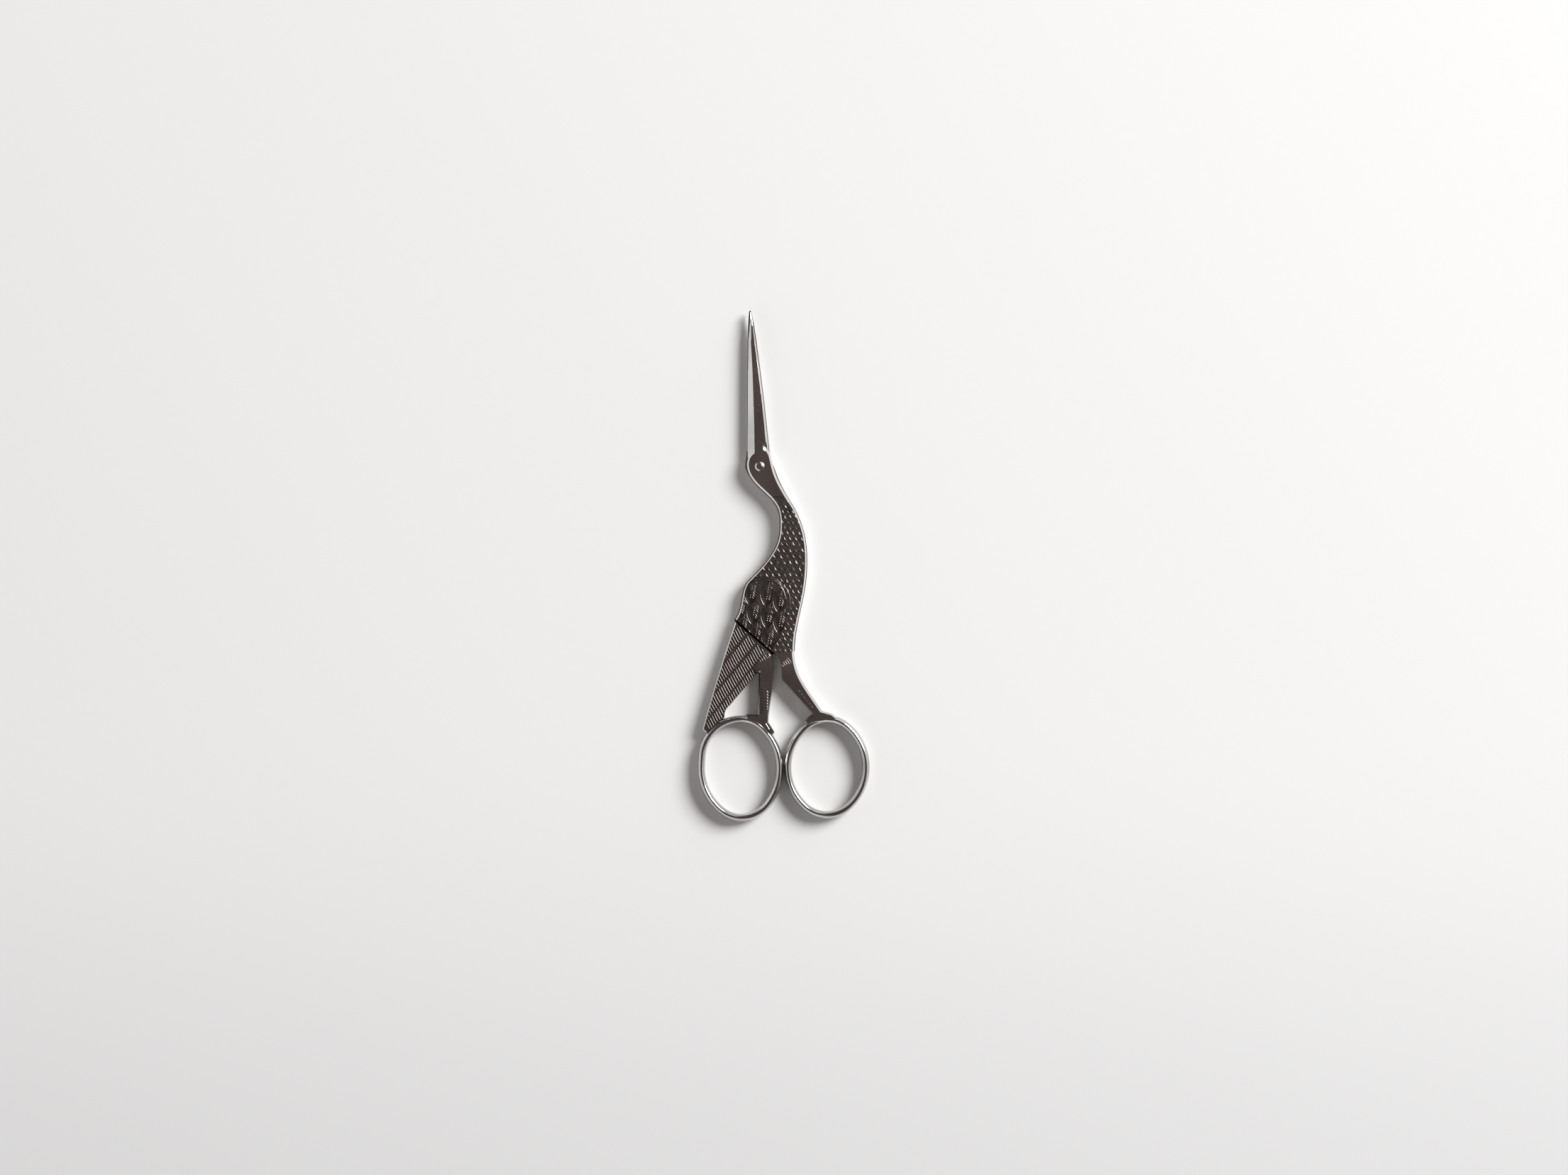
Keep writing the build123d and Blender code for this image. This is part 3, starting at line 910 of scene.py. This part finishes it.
border = {
    "width": 0.40,  # mm
    "height": 0.105,
    "slope": 0.80,
    "groove": [(1050, 824), (1056.0, 821.6), (1059.4, 820), (1065.7, 817.2), (1073, 816.4), (1080, 815.6),
               (1088, 817.2), (1094.7, 818.5), (1099.7, 821.8), (1103, 825.5)],
    "grooveHalf": 1.7,  # pixels
    "side": [(1103, 825.5), (1108, 828.8), (1112, 833), (1114.2, 841), (1115, 851), (1114.2, 858),
             (1112, 865), (1109.6, 872), (1108.4, 878.6), (1106.3, 884.4), (1103, 890), (1100, 897),
             (1097, 903), (1093, 910), (1090, 916), (1086, 922)],
    "glints": [(1099, 826.5), (1102, 828), (1105, 831), (1107, 836), (1108.5, 841), (1110, 846)],
    "glintWidth": 1.3,  # in widths of the other lines
    "glintHeight": 0.14,
    "glintTaper": 0.8,
    "lean": 0.2,  # how far a line of the groove moves along as it moves down
}


def layBorder(loop, name):
    width, height, slope = border["width"], border["height"], border["slope"]
    made = []
    for shift in (-border["grooveHalf"], border["grooveHalf"]):
        points = [(u + border["lean"] * shift, v + shift) for u, v in border["groove"]]
        made.append(raiseLine(points, width, height, slope))
    made.append(raiseLine(border["side"], width, height, slope))
    made.append(raiseLine(border["glints"], border["glintWidth"] * width, border["glintHeight"], slope,
                          taper=border["glintTaper"]))
    piece = joinAll(made, name)
    trimTo(piece, loop)
    seat(piece)
    print(name, len(made), "lines,", len(piece.data.polygons), "faces")
    return piece


# Tail barbs, in four rows between three grooves.

tail = {
    "barbLength": 17.8,  # pixels
    "barbWidth": 3.5,
    "height": 0.092,  # mm
    "slope": 0.63,
    "pitch": 4.1,
    "gap": 1.3,  # from a groove to the end of a barb
    "bow": 0.045,
    "taper": 0.6,  # how much lower the very ends are
    "direction": (7.0, 13.8),
    "heightRange": (0.86, 1.1),
    "firstStretch": (1.0, 1.5, 1.5),  # the first barb of each row, beside the slit
    "grooves": [((1053.5, 895.6), (1017.9, 938.1)), ((1067.3, 908.2), (1007.6, 977.1)),
                ((1081.0, 917.4), (997.2, 1015.0))],
    "rows": [(0, -1), (0, 1), (1, 1), (2, 1)],  # groove, and the side of it
    "steps": (-6, 48),  # along a groove, in pitches
    "spots": (-0.8, 0, 0.8),  # places along a barb, two of which have to lie on the tail
    "cuts": 7,
}


def layTail(loop, name):
    length, width = pixels(tail["barbLength"]), pixels(tail["barbWidth"])
    model = modelBarb(length, width, 2 * tail["height"], cuts=tail["cuts"], slope=tail["slope"])
    for vertex in model.data.vertices:  # a slight bow along each barb, and lower ends
        vertex.co.y -= tail["bow"] * math.cos(math.pi * vertex.co.x / length)
        if vertex.co.z > 0:
            vertex.co.z *= 1 - tail["taper"] * abs(2 * vertex.co.x / length)**4
    du, dv = tail["direction"]
    size = math.hypot(du, dv)
    du, dv = du / size, dv / size
    turn = math.atan2(-dv, du)
    made, wander = [], random.Random(3)
    for groove, side in tail["rows"]:
        (u1, v1), (u2, v2) = tail["grooves"][groove]
        run = math.hypot(u2 - u1, v2 - v1)
        gu, gv = (u2 - u1) / run, (v2 - v1) / run
        reach = side * (tail["barbLength"] / 2 + tail["gap"])
        first = True
        for step in range(*tail["steps"]):
            u = u1 + gu * step * tail["pitch"] + du * reach
            v = v1 + gv * step * tail["pitch"] + dv * reach
            places = [fromPhoto(u + k * du * tail["barbLength"] / 2, v + k * dv * tail["barbLength"] / 2)
                      for k in tail["spots"]]
            if sum(isInside(loop, *place) for place in places) >= 2 or isInside(loop, *places[2]):
                stretch = tail["firstStretch"] if first else (1, 1, wander.uniform(*tail["heightRange"]))
                first = False
                made.append(copyAt(model, *places[1], turn, stretch))
    discard(model)
    piece = joinAll(made, name)
    trimTo(piece, loop)
    seat(piece)
    print(name, len(made), "barbs,", len(piece.data.polygons), "faces")
    return piece


# Legs: bowed lines on the thighs, ribs on the shins and short strokes on the feet.

legs = {
    "Arcs": {"width": 0.10, "height": 0.024, "slope": 0.70, "taper": 0.8},  # mm
    "Ribs": {"width": 0.20, "height": 0.050, "slope": 0.68, "taper": 0.8},
    "FaintRibs": {"width": 0.11, "height": 0.026, "slope": 0.70, "taper": 0.8},
    "Strokes": {"width": 0.42, "height": 0.10, "slope": 0.70, "taper": 0.5},
    "Edges": {"width": 0.22, "height": 0.07, "slope": 0.60, "taper": 0.5},
    "leastOn": 0.4,  # share of a line that has to lie on the leg
    "leftArcs": [((1058, 940), radius, (46, -52)) for radius in (9.5, 13, 16.5, 20, 23.5, 27, 30)],
    "leftRibs": [((1075.5, 981 + 4.2 * rib), 9, (115, 20)) for rib in range(9)],
    "leftStrokes": [[(1072, 1022), (1077, 1027), (1082, 1033)], [(1080, 1020), (1083, 1025), (1086, 1030)],
                    [(1080.5, 919.5), (1084, 922), (1087.5, 926)]],
    "leftEdges": [[(1064, 939.5), (1072, 930.5), (1080, 921.5)], [(1064, 941), (1066, 948), (1069.5, 952.5)]],
    "rightArcs": [((1092, 946), radius, (44, -46)) for radius in (14.5, 17.5, 20.5, 23.5, 26.5)],
    "rightFaintRibs": [((1122.5 + 3.6 * rib, 981 + 4.4 * rib), 8, (140, 38)) for rib in range(6)],
    "rightEdges": [[(1147, 1009), (1140, 1000.5), (1130, 990), (1120, 978.5), (1110, 966.5), (1105.3, 960),
                    (1105, 950), (1104.8, 941), (1102.6, 933), (1099, 927.5)],
                   [(1131, 1029.5), (1137.5, 1023), (1137.8, 1019), (1140, 1015.5), (1145.5, 1012),
                    (1148, 1009.5)]],
}


def arcPoints(centre, radius, low, high):  # in pixels, degrees from +x towards the top of the page
    turns = [math.radians(low + (high - low) * step / 6) for step in range(7)]
    return [(centre[0] + radius * math.cos(turn), centre[1] - radius * math.sin(turn)) for turn in turns]


def faceOutline(piece, u, v):  # of the plain face that carries this place
    edgeUse, place = {}, fromPhoto(u, v)
    for polygon in piece.data.polygons:
        flush = abs(polygon.center.z / mm - faceHeight) < layout["faceSlack"]
        if flush and polygon.normal.z > layout["flatSlope"]:
            for key in polygon.edge_keys:
                edgeUse[key] = edgeUse.get(key, 0) + 1
    return next(loop for loop in chainLoops(piece, edgeUse) if isInside(loop, *place))


def layLegs(side, loop, name):
    made = []
    for kind in ("Arcs", "Ribs", "FaintRibs"):
        for centre, radius, (low, high) in legs.get(side + kind, []):
            made.append(raiseLine(arcPoints(centre, radius, low, high), **legs[kind]))
    for kind in ("Strokes", "Edges"):
        for points in legs.get(side + kind, []):
            made.append(raiseLine(points, **legs[kind]))
    kept = []
    for line in made:  # only what lies on the leg
        places = [vertex.co for vertex in line.data.vertices]
        if sum(isInside(loop, p.x, p.y) for p in places) > legs["leastOn"] * len(places):
            kept.append(line)
        else:
            discard(line)
    piece = joinAll(kept, name)
    trimTo(piece, loop)
    for vertex in piece.data.vertices:
        vertex.co.z += faceHeight
    print(name, len(kept), "lines,", len(piece.data.polygons), "faces")
    return piece


# Each relief goes onto its half, and some of it once more on the lower side.

def settle(piece, body, under=False, material=carvedSteel):
    if under:
        piece.data.transform(Matrix.Translation((0, 0, 2 * middle)) @ Matrix.Diagonal((1, 1, -1, 1)))
        piece.data.flip_normals()
    piece.data.transform(Matrix.Diagonal((mm, mm, mm, 1)))
    piece.data.materials.clear()
    piece.data.materials.append(material)
    clearSelection()
    piece.select_set(True)
    bpy.context.view_layer.objects.active = piece
    bpy.ops.object.shade_smooth_by_angle(angle=math.radians(relief["smoothAngle"]))
    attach(piece, body)


bodyLoop, tailLoop, underLoop = frontLoops[0], tailLoops[0], underLoops[0]
for lay, name in ((layScales, "neckScales"), (layFeathers, "wingFeathers"), (layBorder, "wingBorder")):
    piece = lay(bodyLoop, name)
    sawOff(piece, 0, keepAbove=True)
    settle(piece, "front")
    piece = lay(underLoop, "under" + name[0].upper() + name[1:])
    sawOff(piece, 0, keepAbove=True)
    settle(piece, "back", under=True)
for loop, name in ((tailLoop, "tailBarbs"), (underLoop, "underTailBarbs")):
    piece = layTail(loop, name)
    sawOff(piece, layout["slitDrop"], keepAbove=False)
    settle(piece, "back", under=loop is underLoop, material=tailSteel)
for side, body, spot in (("left", "back", (1075, 990)), ("right", "front", (1130, 985))):
    solid = solids["backHalf" if side == "left" else "frontHalf"]
    piece = layLegs(side, faceOutline(solid, *spot), side + "LegLines")
    settle(piece, body, material=lineSteel)
print("relief in place")


# Table, light and camera.

studio = {
    "tableSize": 9,
    "tableHeight": -0.00002,
    "tableColour": (0.865, 0.865, 0.862),
    "tableRough": 0.75,
    "tableGloss": 0.15,
    "paperGrain": 500.0,
    "grainDark": 0.99,  # share of the colour in the grain's dark places
    "tableFalloffShade": (0.77, 0.77, 0.77),  # painted shade of the table's far lower end, where the light falls off
    "dimFrom": -0.035,  # y where it starts, and where it is complete
    "dimTo": -0.15,
    "lampPower": 85.0,
    "lampSize": 1.35,
    "lampFar": 2.6,
    "lampFromZenith": 54.0,
    "lampTurn": 34.0,  # from +x towards +y
    "overhead": (0.090, 0.070, 0.065),
    "overheadEdge": (0.78, 0.55),  # cosines of the angle from straight up
    "aroundLeft": (0.77, 0.77, 0.77),
    "aroundRight": (1.02, 1.02, 1.015),
    "aroundReach": 0.8,  # x where each of the two is complete
    "shades": [(62, -50, 38), (60, 108, 24)],  # dark places: degrees from zenith, from +x, and their radius
    "shadeTone": (0.10, 0.10, 0.10),
    "shadeFade": (1.2, 0.7),  # radii between which they fade
    "cameraHeight": 1.2,
    "cameraClip": (0.05, 20.0),
    "sensorWidth": 36.0,
    "imageCentre": (1106, 829),
    "imageWidth": 2212,
}


def aim(zenith, turn):  # degrees from straight up, and from +x towards +y
    zenith, turn = math.radians(zenith), math.radians(turn)
    return Vector((math.sin(zenith) * math.cos(turn), math.sin(zenith) * math.sin(turn), math.cos(zenith)))


def makeTable():
    clearSelection()
    bpy.ops.mesh.primitive_plane_add(size=studio["tableSize"], location=(0, 0, studio["tableHeight"]))
    table = bpy.context.object
    table.name = "table"
    material, tree, shader = startMaterial("palePaper")
    shader.inputs["Roughness"].default_value = studio["tableRough"]
    shader.inputs["Specular IOR Level"].default_value = studio["tableGloss"]
    place = tree.nodes.new("ShaderNodeTexCoord")
    grain = addNoise(tree, place, studio["paperGrain"], 3.0)
    darker = tuple(c * studio["grainDark"] for c in studio["tableColour"])
    tone = blendColours(tree, grain, darker, studio["tableColour"])
    # painted shade: the table darkens towards its far lower end, where the light falls off
    falloffShade = mapped(tree, placeAlong(tree, place, "Y"), studio["dimFrom"], studio["dimTo"], smooth=True)
    colour = blendColours(tree, falloffShade, tone, studio["tableFalloffShade"])
    tree.links.new(colour, shader.inputs["Base Color"])
    table.data.materials.append(material)


def makeRoom():  # what the steel mirrors: dark overhead, pale all around, with two dark places
    world = bpy.data.worlds.new("studioRoom")
    bpy.context.scene.world = world
    world.use_nodes = True
    tree = world.node_tree
    direction = tree.nodes.new("ShaderNodeTexCoord")
    split = tree.nodes.new("ShaderNodeSeparateXYZ")
    tree.links.new(direction.outputs["Generated"], split.inputs[0])
    full, none = studio["overheadEdge"]
    rise = mapped(tree, split.outputs["Z"], none, full, smooth=True)
    across = mapped(tree, split.outputs["X"], -studio["aroundReach"], studio["aroundReach"])
    around = blendColours(tree, across, studio["aroundLeft"], studio["aroundRight"])
    for zenith, turn, radius in studio["shades"]:
        closeness = dotWith(tree, direction.outputs["Generated"], aim(zenith, turn))
        limits = [math.cos(math.radians(radius * share)) for share in studio["shadeFade"]]
        edge = mapped(tree, closeness, *limits)
        around = blendColours(tree, edge, around, studio["shadeTone"])
    sky = blendColours(tree, rise, around, studio["overhead"])
    tree.links.new(sky, tree.nodes["Background"].inputs["Color"])


def placeLamp():
    towards = aim(studio["lampFromZenith"], studio["lampTurn"])
    bpy.ops.object.light_add(type="AREA", location=towards * studio["lampFar"])
    lamp = bpy.context.object
    lamp.name = "softBox"
    lamp.data.shape = "DISK"
    lamp.data.size = studio["lampSize"]
    lamp.data.energy = studio["lampPower"]
    lamp.rotation_euler = towards.to_track_quat("Z", "Y").to_euler()


def placeCamera():  # straight above the middle of the photograph
    x, y = fromPhoto(*studio["imageCentre"])
    bpy.ops.object.camera_add(location=(x * mm, y * mm, studio["cameraHeight"]), rotation=(0, 0, 0))
    camera = bpy.context.object
    camera.name = "camera"
    frameWidth = studio["imageWidth"] * layout["pixelSize"] * mm
    camera.data.sensor_width = studio["sensorWidth"]
    camera.data.lens = studio["sensorWidth"] * (studio["cameraHeight"] - faceHeight * mm) / frameWidth
    camera.data.clip_start, camera.data.clip_end = studio["cameraClip"]
    bpy.context.scene.camera = camera


makeTable()
makeRoom()
placeLamp()
placeCamera()
bpy.context.scene.view_settings.view_transform = "Standard"
print("studio ready")
